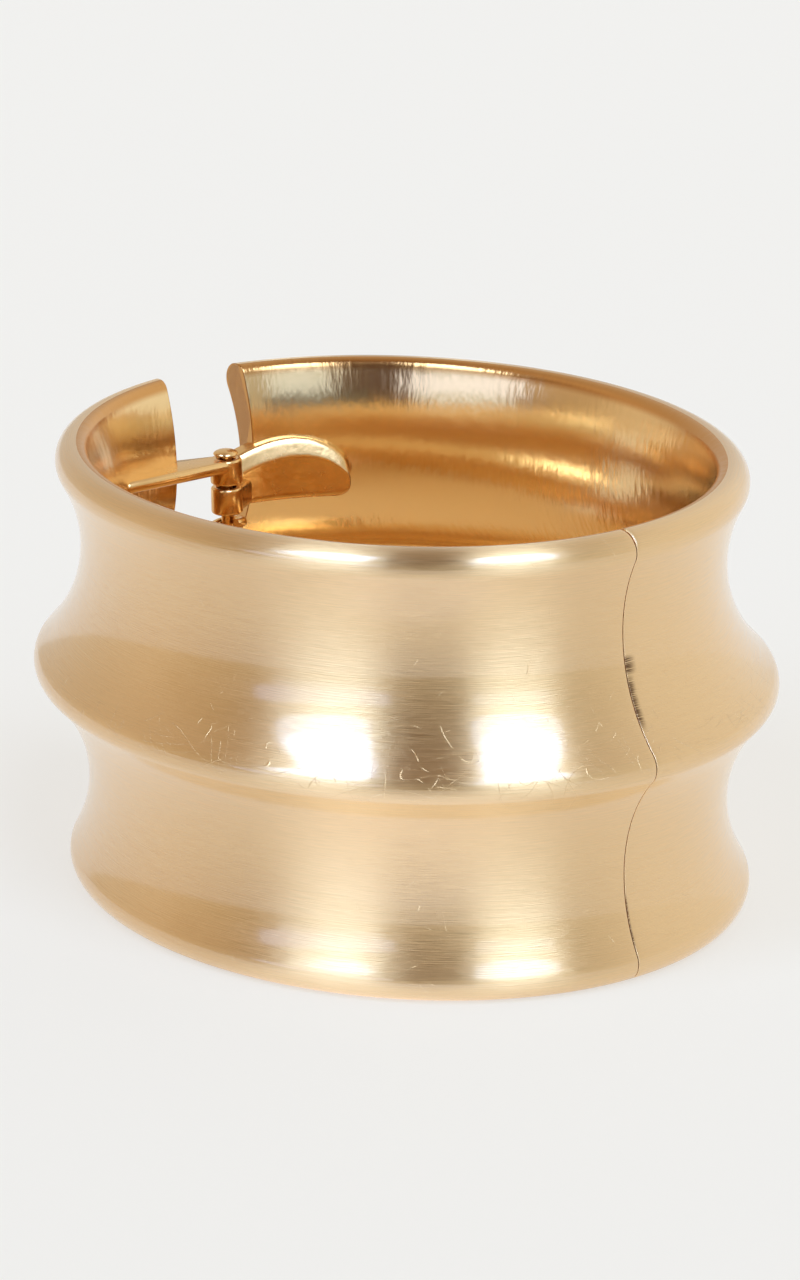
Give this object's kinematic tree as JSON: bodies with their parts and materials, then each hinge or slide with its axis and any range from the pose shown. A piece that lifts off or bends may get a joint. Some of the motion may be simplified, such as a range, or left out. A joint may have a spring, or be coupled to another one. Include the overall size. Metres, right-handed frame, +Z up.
{
  "type": "hinged cuff bangle",
  "caption": "Wide oval gold-tone cuff bangle with a ridged, waisted outside and a polished inside; its half shells open on a sprung hinge.",
  "frame": {"origin": "middle of the band's footprint, on the surface it rests on", "axes": "+X along the oval's long axis from the hinge gap to the seam, +Y towards the back shell, +Z up along the band's height"},
  "size_m": [0.0692, 0.0592, 0.038],
  "materials": {
    "satin_gold": "satin champagne gold plating outside, brushed along the band; mirror polish inside",
    "polished_gold": "mirror-polished gold plating"
  },
  "bodies": {
    "back_half": {"back_shell": "satin_gold", "hinge_pin": "polished_gold", "hinge_spring": "polished_gold"},
    "front_half": {"front_shell": "satin_gold"}
  },
  "joints": [
    {"name": "shell_hinge", "type": "hinge", "parent": "back_half", "child": "front_half", "pos_m": [-0.02646, 0, 0.019], "axis": [0, 0, -1], "range_deg": [0, 50], "stiffness_Nm_per_rad": 0.15, "springref_deg": -28.65}
  ]
}
